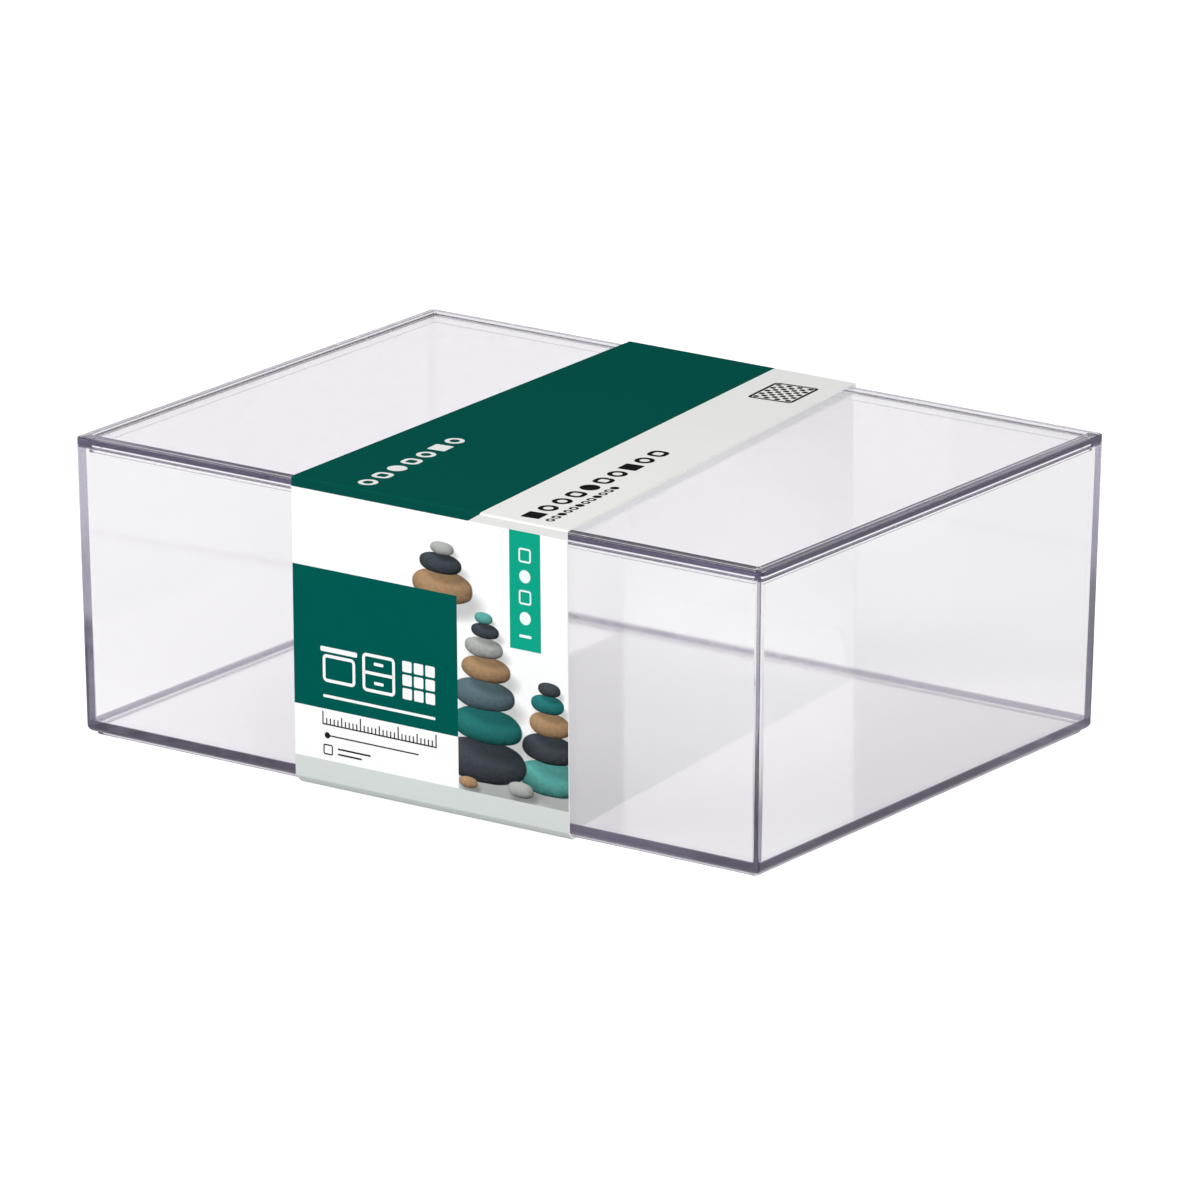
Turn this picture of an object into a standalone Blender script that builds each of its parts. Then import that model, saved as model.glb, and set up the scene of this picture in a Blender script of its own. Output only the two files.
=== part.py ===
"""Clear lidded storage box with a folded card sleeve round it.

Metres, +Z up. X runs along the long side, the front is at -Y, and Z is 0 where the sleeve's base run
touches the table. The box and its lid are moulded clear plastic, and the sleeve is printed card.
"""

import math

import bmesh
import bpy
from mathutils import Matrix, Vector

# Box with its lid on, as it is sold
BOX_LENGTH = 0.225
BOX_WIDTH = 0.165
BOX_HEIGHT = 0.085

# Box moulding
WALL = 0.0024
FLOOR = 0.002  # above the ledge round the foot
WALL_LEAN = 0.0014  # how far each wall leans in between its rim and its foot
CORNER_ROUND = 0.0011
BASE_ROUND = 0.0018
FOOT_STEP = 0.0014
FOOT_LEDGE = 0.0002  # flat between the rounded lower edge and the foot
FOOT_ROUND = 0.0003
INNER_CORNER_ROUND = 0.0006
FLOOR_FILLET = 0.001
RIM_ROUND = 0.0002

# Lid moulding
LID_EDGE = 0.0027
LID_RIM = 0.0032
LID_RECESS = 0.0008
LID_PANEL = 0.0019
LID_TOP_ROUND = 0.0003
LID_LOWER_ROUND = 0.0007
LIP_DEPTH = 0.002
LIP_WIDTH = 0.0018
LIP_ROUND = 0.0004
LIP_FIT = 0.0004  # play between the lip and the wall
LID_SEAT_GAP = 0.0004

# Card sleeve
CARD = 0.0004
CARD_CLEARANCE = 0.0003
SLEEVE_FRONT_LEFT = -0.040
SLEEVE_FRONT_RIGHT = 0.051
SLEEVE_BACK_LEFT = -0.0444
SLEEVE_BACK_RIGHT = 0.0312
FOLD_ROUND = 0.0012
FLAP_LENGTH = 0.015
FLAP_TAPER = 0.004
GLUE_LINE = 0.0001
GLUE_HEIGHT = 0.008
GLUE_MARGIN = 0.006
BACK_EDGE_RISE = 0.0008  # the back panel's cut edge stays this far above the base run's fold
TRIM_OVERRUN = 0.05  # the strip is made this much too long at each end, then trimmed

# Facets of each quarter turn, and the angle up to which facets are shaded as one surface
CORNER_STEPS = 5
BASE_STEPS = 7
SMALL_STEPS = 3
QUARTER = math.pi / 2
SMOOTH_ANGLE = math.radians(35)

# Heights and places that follow from the sizes above
FOOT_Z = CARD + CARD_CLEARANCE
LID_TOP_Z = FOOT_Z + BOX_HEIGHT
LID_UNDERSIDE_Z = LID_TOP_Z - LID_EDGE
WALL_TOP_Z = LID_UNDERSIDE_Z - LID_SEAT_GAP
LEDGE_Z = FOOT_Z + FOOT_STEP
FLOOR_TOP_Z = LEDGE_Z + FLOOR

CLEAR_COLOUR = (0.88, 0.875, 0.91, 1.0)
CARD_COLOUR = (0.02, 0.12, 0.10, 1.0)


def clear_the_scene():
    for obj in list(bpy.data.objects):
        bpy.data.objects.remove(obj)


def new_collection(name):
    collection = bpy.data.collections.new(name)
    bpy.context.scene.collection.children.link(collection)
    return collection


def new_material(name, colour, roughness, transmission=0.0):
    material = bpy.data.materials.new(name)
    material.use_nodes = True
    shader = material.node_tree.nodes["Principled BSDF"]
    shader.inputs["Base Color"].default_value = colour
    shader.inputs["Roughness"].default_value = roughness
    shader.inputs["Metallic"].default_value = 0.0
    shader.inputs["Transmission Weight"].default_value = transmission
    return material


def new_object(name, bm, material, collection):
    mesh = bpy.data.meshes.new(name)
    bm.to_mesh(mesh)
    bm.free()
    mesh.materials.append(material)
    mesh.shade_smooth()
    mesh.set_sharp_from_angle(angle=SMOOTH_ANGLE)
    obj = bpy.data.objects.new(name, mesh)
    collection.objects.link(obj)
    return obj


def arc(centre, radius, start, turn, steps):
    """Points of a circular arc in a section, from the angle start through turn."""
    angles = [start + turn * step / steps for step in range(steps + 1)]
    return [(centre[0] + radius * math.cos(a), centre[1] + radius * math.sin(a)) for a in angles]


def wall_lean_at(z):
    """How far a wall has leaned in at a height, measured from its rim."""
    return WALL_LEAN * (WALL_TOP_Z - z) / (WALL_TOP_Z - FOOT_Z)


def add_ring(bm, inset, z, corner):
    """The points round a rounded rectangle, inset from the outline of the box."""
    half = Vector((BOX_LENGTH / 2 - inset - corner, BOX_WIDTH / 2 - inset - corner))
    verts = []
    for quadrant in range(4):
        side_x = (1, -1, -1, 1)[quadrant]
        side_y = (1, 1, -1, -1)[quadrant]
        centre = (side_x * half.x, side_y * half.y)
        for x, y in arc(centre, corner, quadrant * QUARTER, QUARTER, CORNER_STEPS):
            verts.append(bm.verts.new((x, y, z)))
    return verts


def loft_round(section):
    """A closed mesh from a section through one edge: it is swept round the rectangle and capped.

    The section runs from the middle of the underside out, up the outer side and back to the middle. Each
    of its points is an inset from the outline, a height and the corner's radius there.
    """
    bm = bmesh.new()
    rings = [add_ring(bm, *point) for point in section]
    for ring, following in zip(rings, rings[1:]):
        for i in range(len(ring)):
            bm.faces.new((ring[i - 1], ring[i], following[i], following[i - 1]))
    bm.faces.new(reversed(rings[0]))
    bm.faces.new(rings[-1])
    return bm


def build_box_body(material, collection):
    """Walls, floor, rounded lower edge and stepped foot, from one section through a wall."""
    base_centre_z = LEDGE_Z + BASE_ROUND
    base_inset = wall_lean_at(base_centre_z)
    foot_inset = base_inset + BASE_ROUND + FOOT_LEDGE
    floor_corner_z = FLOOR_TOP_Z + FLOOR_FILLET
    inner_inset = wall_lean_at(floor_corner_z) + WALL

    foot = arc((foot_inset + FOOT_ROUND, FOOT_Z + FOOT_ROUND), FOOT_ROUND, -QUARTER, -QUARTER, SMALL_STEPS)
    base = arc((base_inset + BASE_ROUND, base_centre_z), BASE_ROUND, -QUARTER, -QUARTER, BASE_STEPS)
    rim_z = WALL_TOP_Z - RIM_ROUND
    outer_rim = arc((RIM_ROUND, rim_z), RIM_ROUND, math.pi, -QUARTER, SMALL_STEPS)
    inner_rim = arc((WALL - RIM_ROUND, rim_z), RIM_ROUND, QUARTER, -QUARTER, SMALL_STEPS)
    fillet = arc((inner_inset + FLOOR_FILLET, floor_corner_z), FLOOR_FILLET, math.pi, QUARTER, BASE_STEPS)

    outside = foot + [(foot_inset, LEDGE_Z)] + base + outer_rim
    inside = inner_rim + fillet
    section = [(inset, z, CORNER_ROUND) for inset, z in outside]
    section += [(inset, z, INNER_CORNER_ROUND) for inset, z in inside]
    return new_object("box_body", loft_round(section), material, collection)


def build_lid(material, collection):
    """Flat plate with a raised rim, a recessed top panel and a plug lip that seats inside the walls."""
    lip_inset = WALL + LIP_FIT
    lip_end_z = LID_UNDERSIDE_Z - LIP_DEPTH
    lip_low_inset = wall_lean_at(lip_end_z) + lip_inset
    panel_top_z = LID_TOP_Z - LID_RECESS
    panel_under_z = panel_top_z - LID_PANEL
    lip_inner = lip_low_inset + LIP_WIDTH

    lip_round_z = lip_end_z + LIP_ROUND
    lip_inner_end = arc((lip_inner - LIP_ROUND, lip_round_z), LIP_ROUND, 0, -QUARTER, SMALL_STEPS)
    outer_centre = (lip_low_inset + LIP_ROUND, lip_round_z)
    lip_outer_end = arc(outer_centre, LIP_ROUND, -QUARTER, -QUARTER, SMALL_STEPS)
    low_centre = (LID_LOWER_ROUND, LID_UNDERSIDE_Z + LID_LOWER_ROUND)
    low_edge = arc(low_centre, LID_LOWER_ROUND, -QUARTER, -QUARTER, SMALL_STEPS)
    top_centre = (LID_TOP_ROUND, LID_TOP_Z - LID_TOP_ROUND)
    top_edge = arc(top_centre, LID_TOP_ROUND, math.pi, -QUARTER, SMALL_STEPS)
    recess_centre = (LID_RIM - RIM_ROUND, LID_TOP_Z - RIM_ROUND)
    recess_edge = arc(recess_centre, RIM_ROUND, QUARTER, -QUARTER, SMALL_STEPS)

    lip = [(lip_inner, panel_under_z)] + lip_inner_end + lip_outer_end + [(lip_inset, LID_UNDERSIDE_Z)]
    plate = low_edge + top_edge + recess_edge + [(LID_RIM, panel_top_z)]
    section = [(inset, z, INNER_CORNER_ROUND) for inset, z in lip]
    section += [(inset, z, CORNER_ROUND) for inset, z in plate]
    return new_object("lid", loft_round(section), material, collection)


def sleeve_lines():
    """The inner faces of the four runs of card, as points (y, z) where neighbouring runs would meet."""
    top_z = LID_TOP_Z + CARD_CLEARANCE
    side_y = BOX_WIDTH / 2 + CARD_CLEARANCE
    base_z = CARD
    flap_top_z = base_z + FLAP_LENGTH
    lean_height = WALL_TOP_Z - FOOT_Z
    flap_share = (WALL_TOP_Z - flap_top_z) / lean_height
    front_lean = WALL_LEAN * (top_z - base_z) / lean_height
    back_lean = front_lean - (CARD + GLUE_LINE) / flap_share
    return {
        "front_top": Vector((-side_y, top_z)),
        "back_top": Vector((side_y, top_z)),
        "front_base": Vector((front_lean - side_y, base_z)),
        "back_base": Vector((side_y - back_lean, base_z)),
    }


def rounded_corner(before, corner, after, radius):
    """Points of the arc that rounds a corner of the sleeve's section."""
    back = (before - corner).normalized()
    ahead = (after - corner).normalized()
    half_angle = back.angle(ahead) / 2
    reach = radius / math.tan(half_angle)
    centre = corner + (back + ahead).normalized() * (radius / math.sin(half_angle))
    start = corner + back * reach - centre
    turn = back.angle_signed(ahead)
    sweep = math.copysign(math.pi - abs(turn), turn)
    steps = range(CORNER_STEPS + 1)
    return [centre + Matrix.Rotation(sweep * step / CORNER_STEPS, 2) @ start for step in steps]


def build_sleeve(material, collection, cutters):
    """One strip of card: up the back, over the top, down the front, under the base, inside the back."""
    lines = sleeve_lines()
    back_up = (lines["back_top"] - lines["back_base"]).normalized()
    inward = Vector((-back_up.y, back_up.x))
    cut_edge = lines["back_base"] + back_up * BACK_EDGE_RISE
    flap_root = lines["back_base"] + inward * (CARD + GLUE_LINE)
    flap_end = flap_root + back_up * FLAP_LENGTH

    # the card cuts across the front's lower corner, just clear of the box's rounded edge
    cut_off = (2 - math.sqrt(2)) * (BASE_ROUND + CARD_CLEARANCE) + FOOT_STEP
    front_up = (lines["front_top"] - lines["front_base"]).normalized()
    front_base_up = lines["front_base"] + front_up * cut_off
    front_base_in = Vector((lines["front_base"].x + cut_off, lines["front_base"].y))
    points = [cut_edge]
    points += rounded_corner(cut_edge, lines["back_top"], lines["front_top"], FOLD_ROUND)
    points += rounded_corner(lines["back_top"], lines["front_top"], front_base_up, FOLD_ROUND)
    points += rounded_corner(lines["front_top"], front_base_up, front_base_in, FOLD_ROUND)
    points += rounded_corner(front_base_up, front_base_in, flap_root, FOLD_ROUND)
    points += rounded_corner(front_base_in, flap_root, flap_end, FOLD_ROUND)
    points += [flap_end]

    far_left = min(SLEEVE_FRONT_LEFT, SLEEVE_BACK_LEFT) - TRIM_OVERRUN
    far_right = max(SLEEVE_FRONT_RIGHT, SLEEVE_BACK_RIGHT) + TRIM_OVERRUN
    bm = bmesh.new()
    verts = [bm.verts.new((far_left, point.x, point.y)) for point in points]
    path = [bm.edges.new(pair) for pair in zip(verts, verts[1:])]
    pulled = bmesh.ops.extrude_edge_only(bm, edges=path)["geom"]
    moved = [part for part in pulled if isinstance(part, bmesh.types.BMVert)]
    bmesh.ops.translate(bm, verts=moved, vec=(far_right - far_left, 0, 0))

    trim_strip(bm, SLEEVE_FRONT_LEFT, SLEEVE_BACK_LEFT, -1)
    trim_strip(bm, SLEEVE_FRONT_RIGHT, SLEEVE_BACK_RIGHT, 1)
    last_row = [v for v in bm.verts if (Vector((v.co.y, v.co.z)) - flap_end).length < CARD / 2]
    for vert in last_row:
        middle = (SLEEVE_BACK_LEFT + SLEEVE_BACK_RIGHT) / 2
        vert.co.x -= math.copysign(FLAP_TAPER, vert.co.x - middle)

    sleeve = new_object("sleeve", bm, material, collection)
    thickness = sleeve.modifiers.new("card thickness", "SOLIDIFY")
    thickness.thickness = CARD
    thickness.offset = -1
    thickness.use_even_offset = True

    glue_centre = cut_edge + back_up * GLUE_HEIGHT + inward * GLUE_LINE / 2
    glue = add_glue_line(glue_centre, math.atan2(back_up.y, back_up.x) - QUARTER, material, cutters)
    joined = sleeve.modifiers.new("glued lap", "BOOLEAN")
    joined.operation = "UNION"
    joined.solver = "EXACT"
    joined.object = glue
    return sleeve


def trim_strip(bm, front_x, back_x, side):
    """Cut the strip along one long edge, by an upright plane from its place at the front to the back."""
    front = Vector((front_x, -BOX_WIDTH / 2, 0))
    along = Vector((back_x, BOX_WIDTH / 2, 0)) - front
    outward = Vector((along.y, -along.x, 0)).normalized() * side
    everything = bm.verts[:] + bm.edges[:] + bm.faces[:]
    bmesh.ops.bisect_plane(bm, geom=everything, plane_co=front, plane_no=outward, clear_outer=True)


def add_glue_line(centre, tilt, material, cutters):
    """The line of glue between the flap and the back panel, sunk a little into both for the union."""
    length = SLEEVE_BACK_RIGHT - SLEEVE_BACK_LEFT - 2 * (FLAP_TAPER + GLUE_MARGIN)
    bm = bmesh.new()
    bmesh.ops.create_cube(bm, size=1)
    bmesh.ops.scale(bm, verts=bm.verts, vec=(length, GLUE_LINE + CARD, GLUE_HEIGHT))
    glue = new_object("glue_line", bm, material, cutters)
    glue.location = ((SLEEVE_BACK_LEFT + SLEEVE_BACK_RIGHT) / 2, centre.x, centre.y)
    glue.rotation_euler = (tilt, 0, 0)
    glue.hide_render = True
    glue.display_type = "WIRE"
    return glue


clear_the_scene()
parts = new_collection("storage_box")
cutters = new_collection("cutters")
clear_plastic = new_material("clear_plastic", CLEAR_COLOUR, 0.03, transmission=1.0)
printed_card = new_material("printed_card", CARD_COLOUR, 0.45)
build_box_body(clear_plastic, parts)
build_lid(clear_plastic, parts)
build_sleeve(printed_card, parts, cutters)
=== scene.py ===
"""Clear lidded storage box with a printed card sleeve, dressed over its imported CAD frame. Metres."""

import math

import bpy
from mathutils import Color, Matrix, Vector


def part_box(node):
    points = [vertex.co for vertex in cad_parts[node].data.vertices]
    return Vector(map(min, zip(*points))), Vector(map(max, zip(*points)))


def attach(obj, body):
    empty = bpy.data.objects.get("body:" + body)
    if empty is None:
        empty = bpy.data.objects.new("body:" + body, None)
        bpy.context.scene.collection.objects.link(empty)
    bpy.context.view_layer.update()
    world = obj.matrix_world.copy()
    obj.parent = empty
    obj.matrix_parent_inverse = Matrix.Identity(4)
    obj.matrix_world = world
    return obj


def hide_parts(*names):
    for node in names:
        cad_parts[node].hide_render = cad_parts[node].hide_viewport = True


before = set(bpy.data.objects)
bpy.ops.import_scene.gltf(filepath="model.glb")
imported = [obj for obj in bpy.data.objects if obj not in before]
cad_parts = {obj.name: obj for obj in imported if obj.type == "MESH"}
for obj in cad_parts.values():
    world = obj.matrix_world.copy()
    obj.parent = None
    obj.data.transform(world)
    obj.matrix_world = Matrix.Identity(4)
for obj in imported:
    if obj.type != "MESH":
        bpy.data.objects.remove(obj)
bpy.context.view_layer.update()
bpy.ops.object.select_all(action="DESELECT")

# Camera
# A long lens some three metres away, looking down a little on the box from in front of its right corner. At
# that distance the upright edges stay nearly upright.
CAMERA_TARGET = Vector((0.00303, 0.00057, 0.03891))
CAMERA_DISTANCE = 2.99365
CAMERA_AZIMUTH = math.radians(-35.0311)
CAMERA_ELEVATION = math.radians(16.5093)
CAMERA_ROLL = math.radians(0.1515)
CAMERA_LENS_MM = 329.73
SENSOR_MM = 36

forward = Vector((
    math.sin(CAMERA_AZIMUTH) * math.cos(CAMERA_ELEVATION),
    math.cos(CAMERA_AZIMUTH) * math.cos(CAMERA_ELEVATION),
    -math.sin(CAMERA_ELEVATION),
))
bpy.ops.object.camera_add(location=CAMERA_TARGET - forward * CAMERA_DISTANCE)
camera = bpy.context.object
camera.name = "photo_camera"
camera.data.lens = CAMERA_LENS_MM
camera.data.sensor_width = SENSOR_MM
aim = forward.to_track_quat("-Z", "Y").to_matrix() @ Matrix.Rotation(CAMERA_ROLL, 3, "Z")
camera.rotation_euler = aim.to_euler()
bpy.context.scene.camera = camera

# Studio
# A pale sweep of floor under an even white sky, and a soft lamp on each side of the camera. The sweep glows
# a little under the box, more at its left, and clear edges pick up a dim room with a strip of white in it.
LIGHT_BOUNCES = 96
CLEAR_LAYERS = 24
SWEEP_SIZE = 30.0
SWEEP_COLOUR = (0.80, 0.80, 0.80, 1)
SWEEP_GLOW = 0.60
GLOW_THROUGH_PLASTIC = 0.30
GLOW_COLOUR = (0.975, 0.935, 1.0, 1)
GLOW_UNDER_BOX = (0.21, -0.08)
GLOW_INSET = 0.004
GLOW_FADE = 0.001
SKY_LIGHT = 0.60
SKY_COLOUR = (1, 1, 1, 1)
DIM_ROOM = (0.125, 0.112, 0.150, 1)
DARK_CEILING = (0.09, 0.08, 0.12, 1)
WHITE_STRIP = (0.84, 0.825, 0.875, 1)
STRIP_EDGE = (0.45, 0.435, 0.48, 1)
MIRRORED_ROOM = (
    (0.02, (0.96, 0.945, 0.985, 1)),
    (0.30, (0.985, 0.965, 1.0, 1)),
    (0.75, (0.10, 0.09, 0.13, 1)),
)
ROOM_THROUGH_PLASTIC = (
    (0.02, (0.94, 0.925, 0.975, 1)),
    (0.12, DIM_ROOM),
    (0.235, DIM_ROOM),
    (0.25, WHITE_STRIP),
    (0.284, WHITE_STRIP),
    (0.292, STRIP_EDGE),
    (0.312, STRIP_EDGE),
    (0.33, DIM_ROOM),
    (0.75, DARK_CEILING),
)


def feed(tree, socket, value):
    """Links a socket to another one, or sets it to a plain value."""
    if isinstance(value, bpy.types.NodeSocket):
        tree.links.new(value, socket)
    else:
        socket.default_value = value


def add_math(tree, operation, *values):
    """A Math node on sockets or plain numbers. Returns its result."""
    made = tree.nodes.new("ShaderNodeMath")
    made.operation = operation
    for socket, value in zip(made.inputs, values):
        feed(tree, socket, value)
    return made.outputs[0]


def add_ramp(tree, value, stops):
    """A colour ramp on a value, from stops of position and colour. Returns its colour."""
    made = tree.nodes.new("ShaderNodeValToRGB")
    for position, colour in stops[2:]:
        made.color_ramp.elements.new(position)
    for element, (position, colour) in zip(made.color_ramp.elements, stops):
        element.position = position
        element.color = colour
    tree.links.new(value, made.inputs[0])
    return made.outputs["Color"]


def add_mix(tree, share, first, second):
    """A mix of two colours, each a socket or a plain one. Returns its result."""
    made = tree.nodes.new("ShaderNodeMix")
    made.data_type = "RGBA"
    feed(tree, made.inputs["Factor"], share)
    feed(tree, made.inputs["A"], first)
    feed(tree, made.inputs["B"], second)
    return made.outputs["Result"]


def add_span(tree, value, low, high, at_low, at_high, smooth=False):
    """Maps a value from one span onto another, and holds it at both ends. Returns the result."""
    made = tree.nodes.new("ShaderNodeMapRange")
    made.interpolation_type = "SMOOTHSTEP" if smooth else "LINEAR"
    feed(tree, made.inputs["Value"], value)
    feed(tree, made.inputs["From Min"], low)
    feed(tree, made.inputs["From Max"], high)
    feed(tree, made.inputs["To Min"], at_low)
    feed(tree, made.inputs["To Max"], at_high)
    return made.outputs[0]


def add_place(tree, kind="Object"):
    """The place on a piece, or in the world the direction of a ray. Returns its X, Y and Z."""
    coordinates = tree.nodes.new("ShaderNodeTexCoord")
    split = tree.nodes.new("ShaderNodeSeparateXYZ")
    tree.links.new(coordinates.outputs[kind], split.inputs[0])
    return split.outputs


def add_depths(tree, place, high):
    """How far a place lies inside the two ends, and inside the two long sides, of a piece's box."""
    return [
        add_math(tree, "SUBTRACT", half, add_math(tree, "ABSOLUTE", place[axis]))
        for axis, half in (("X", high.x), ("Y", high.y))
    ]


scene = bpy.context.scene
scene.view_settings.view_transform = "Standard"
scene.cycles.max_bounces = LIGHT_BOUNCES
scene.cycles.transmission_bounces = LIGHT_BOUNCES
scene.cycles.glossy_bounces = LIGHT_BOUNCES
scene.cycles.transparent_max_bounces = CLEAR_LAYERS

world = bpy.data.worlds.new("studio")
scene.world = world
world.use_nodes = True
tree = world.node_tree
path = tree.nodes.new("ShaderNodeLightPath").outputs
height = add_place(tree, "Generated")["Z"]
mirrored = add_ramp(tree, height, MIRRORED_ROOM)
refracted = add_ramp(tree, height, ROOM_THROUGH_PLASTIC)
room = add_mix(tree, path["Is Glossy Ray"], SKY_COLOUR, mirrored)
room = add_mix(tree, path["Is Transmission Ray"], room, refracted)
through = add_math(tree, "MAXIMUM", path["Is Glossy Ray"], path["Is Transmission Ray"])
seen = add_math(tree, "MAXIMUM", through, path["Is Camera Ray"])
background = tree.nodes["Background"]
tree.links.new(room, background.inputs["Color"])
feed(tree, background.inputs["Strength"], add_math(tree, "MULTIPLY_ADD", seen, 1 - SKY_LIGHT, SKY_LIGHT))

bpy.ops.mesh.primitive_plane_add(size=SWEEP_SIZE)
studio_floor = bpy.context.object
studio_floor.name = "studio_floor"
floor_material = bpy.data.materials.new("studio_floor")
floor_material.use_nodes = True
tree = floor_material.node_tree
paper = tree.nodes["Principled BSDF"]
paper.inputs["Roughness"].default_value = 1
paper.inputs["Specular IOR Level"].default_value = 0
paper.inputs["Base Color"].default_value = SWEEP_COLOUR
box_low, box_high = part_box("box_body")
path = tree.nodes.new("ShaderNodeLightPath").outputs
place = add_place(tree)
depth = add_math(tree, "MINIMUM", *add_depths(tree, place, box_high))
under = add_span(tree, depth, GLOW_INSET - GLOW_FADE, GLOW_INSET, 0, 1)
uneven = add_span(tree, place["X"], box_low.x, box_high.x, *GLOW_UNDER_BOX)
behind = add_math(tree, "MULTIPLY_ADD", under, uneven, GLOW_THROUGH_PLASTIC)
through = add_math(tree, "MAXIMUM", path["Is Glossy Ray"], path["Is Transmission Ray"])
direct = add_math(tree, "MULTIPLY", path["Is Camera Ray"], SWEEP_GLOW)
glow = tree.nodes.new("ShaderNodeEmission")
glow.inputs["Color"].default_value = GLOW_COLOUR
feed(tree, glow.inputs["Strength"], add_math(tree, "MULTIPLY_ADD", through, behind, direct))
both = tree.nodes.new("ShaderNodeAddShader")
tree.links.new(paper.outputs[0], both.inputs[0])
tree.links.new(glow.outputs[0], both.inputs[1])
tree.links.new(both.outputs[0], tree.nodes["Material Output"].inputs["Surface"])
studio_floor.data.materials.append(floor_material)

LAMP_SIZE = 1.2
LAMPS = (
    ("left_softbox", Vector((-1.5, -1.3, 0.7)), 17),
    ("right_softbox", Vector((1.5, -1.3, 0.7)), 15),
)
for name, stand, watts in LAMPS:
    bpy.ops.object.light_add(type="AREA", location=stand)
    lamp = bpy.context.object
    lamp.name = name
    lamp.data.size = LAMP_SIZE
    lamp.data.energy = watts
    lamp.rotation_euler = (-stand).to_track_quat("-Z", "Y").to_euler()
    lamp.visible_glossy = False
    lamp.visible_transmission = False
    lamp.visible_camera = False

# Box
# One injection moulding of clear polystyrene: leaning walls, a floor, a rounded lower edge and a ring of
# a foot that steps in, so that it seats in the lid of the box below.
lid_low, lid_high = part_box("lid")

BOX_SIZE = Vector((lid_high.x - lid_low.x, lid_high.y - lid_low.y))
WALL = 0.0024
FLOOR = 0.0029
WALL_LEAN = 0.0014
CORNER_ROUND = 0.0011
INNER_CORNER_ROUND = 0.0006
BASE_ROUND = 0.0018
FOOT_STEP = 0.0009
FOOT_LEDGE = 0.0002
FOOT_RING = 0.0012
FOOT_ROUND = 0.0003
FLOOR_FILLET = 0.0004
RIM_ROUND = 0.0002
CORNER_STEPS = 10
ROUND_STEPS = 8
SMALL_ROUND_STEPS = 4
QUARTER = math.pi / 2
SMOOTH_ANGLE = math.radians(35)
FLAT_FACE_WEIGHT = 100


def pick(piece, test, kind="FACE"):
    """Selects the faces, edges or vertices whose middle passes a test, in edit mode."""
    bpy.ops.mesh.select_mode(type=kind)
    bpy.ops.mesh.select_all(action="DESELECT")
    bpy.ops.object.mode_set(mode="OBJECT")
    mesh = piece.data
    for vert in mesh.vertices:
        if kind == "VERT" and test(vert.co):
            vert.select = True
    for edge in mesh.edges:
        middle = sum((mesh.vertices[i].co for i in edge.vertices), Vector()) / 2
        if kind == "EDGE" and test(middle):
            edge.select = True
    for face in mesh.polygons:
        if kind == "FACE" and test(face.center):
            face.select = True
    bpy.ops.object.mode_set(mode="EDIT")


def arc(inset, z, radius, start, turn, steps=ROUND_STEPS):
    """Points (inset, height) of a circular arc round a centre, from the angle start through turn."""
    angles = [start + turn * step / steps for step in range(steps + 1)]
    return [(inset + radius * math.cos(a), z + radius * math.sin(a)) for a in angles]


def mould(name, section, inner_ring, inner_round):
    """Pulls a rounded rectangle up, ring by ring, along a section of insets and heights.

    From one ring on, the corners are drawn in to a tighter round.
    """
    inset, z = section[0]
    bpy.ops.mesh.primitive_plane_add(size=1, location=(0, 0, z))
    piece = bpy.context.object
    piece.name = name
    piece.scale = (BOX_SIZE.x - 2 * inset, BOX_SIZE.y - 2 * inset, 1)
    bpy.ops.object.transform_apply(location=True, rotation=True, scale=True)
    bpy.ops.object.mode_set(mode="EDIT")
    bpy.ops.mesh.select_all(action="SELECT")
    bpy.ops.mesh.bevel(offset=CORNER_ROUND, segments=CORNER_STEPS, affect="VERTICES")
    for ring, (next_inset, next_z) in enumerate(section[1:], 1):
        bpy.ops.mesh.extrude_region_move(TRANSFORM_OT_translate={"value": (0, 0, next_z - z)})
        x_share = (BOX_SIZE.x - 2 * next_inset) / (BOX_SIZE.x - 2 * inset)
        y_share = (BOX_SIZE.y - 2 * next_inset) / (BOX_SIZE.y - 2 * inset)
        bpy.ops.transform.resize(value=(x_share, y_share, 1), center_override=(0, 0, next_z))
        inset, z = next_inset, next_z
        if ring == inner_ring:
            half = Vector((BOX_SIZE.x / 2 - inset, BOX_SIZE.y / 2 - inset, 0))
            for x_side, y_side in ((-1, -1), (1, -1), (1, 1), (-1, 1)):
                corner = Vector((x_side * half.x, y_side * half.y, z))
                pick(piece, lambda p: (p - corner).length < WALL / 2, "VERT")
                draw_in = inner_round / CORNER_ROUND
                bpy.ops.transform.resize(value=(draw_in, draw_in, 1), center_override=corner)
            pick(piece, lambda p: (p - Vector((0, 0, z))).length < inner_round)
    bpy.ops.mesh.select_all(action="SELECT")
    bpy.ops.mesh.normals_make_consistent(inside=False)
    bpy.ops.object.mode_set(mode="OBJECT")
    bpy.ops.object.shade_smooth_by_angle(angle=SMOOTH_ANGLE)
    flats = piece.modifiers.new("flat_faces_stay_flat", "WEIGHTED_NORMAL")
    flats.weight = FLAT_FACE_WEIGHT
    flats.keep_sharp = True
    bpy.ops.object.modifier_apply(modifier=flats.name)
    return piece


def lean(z):
    """How far a wall has leaned in at a height."""
    return WALL_LEAN * (box_high.z - z) / (box_high.z - box_low.z)


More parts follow.
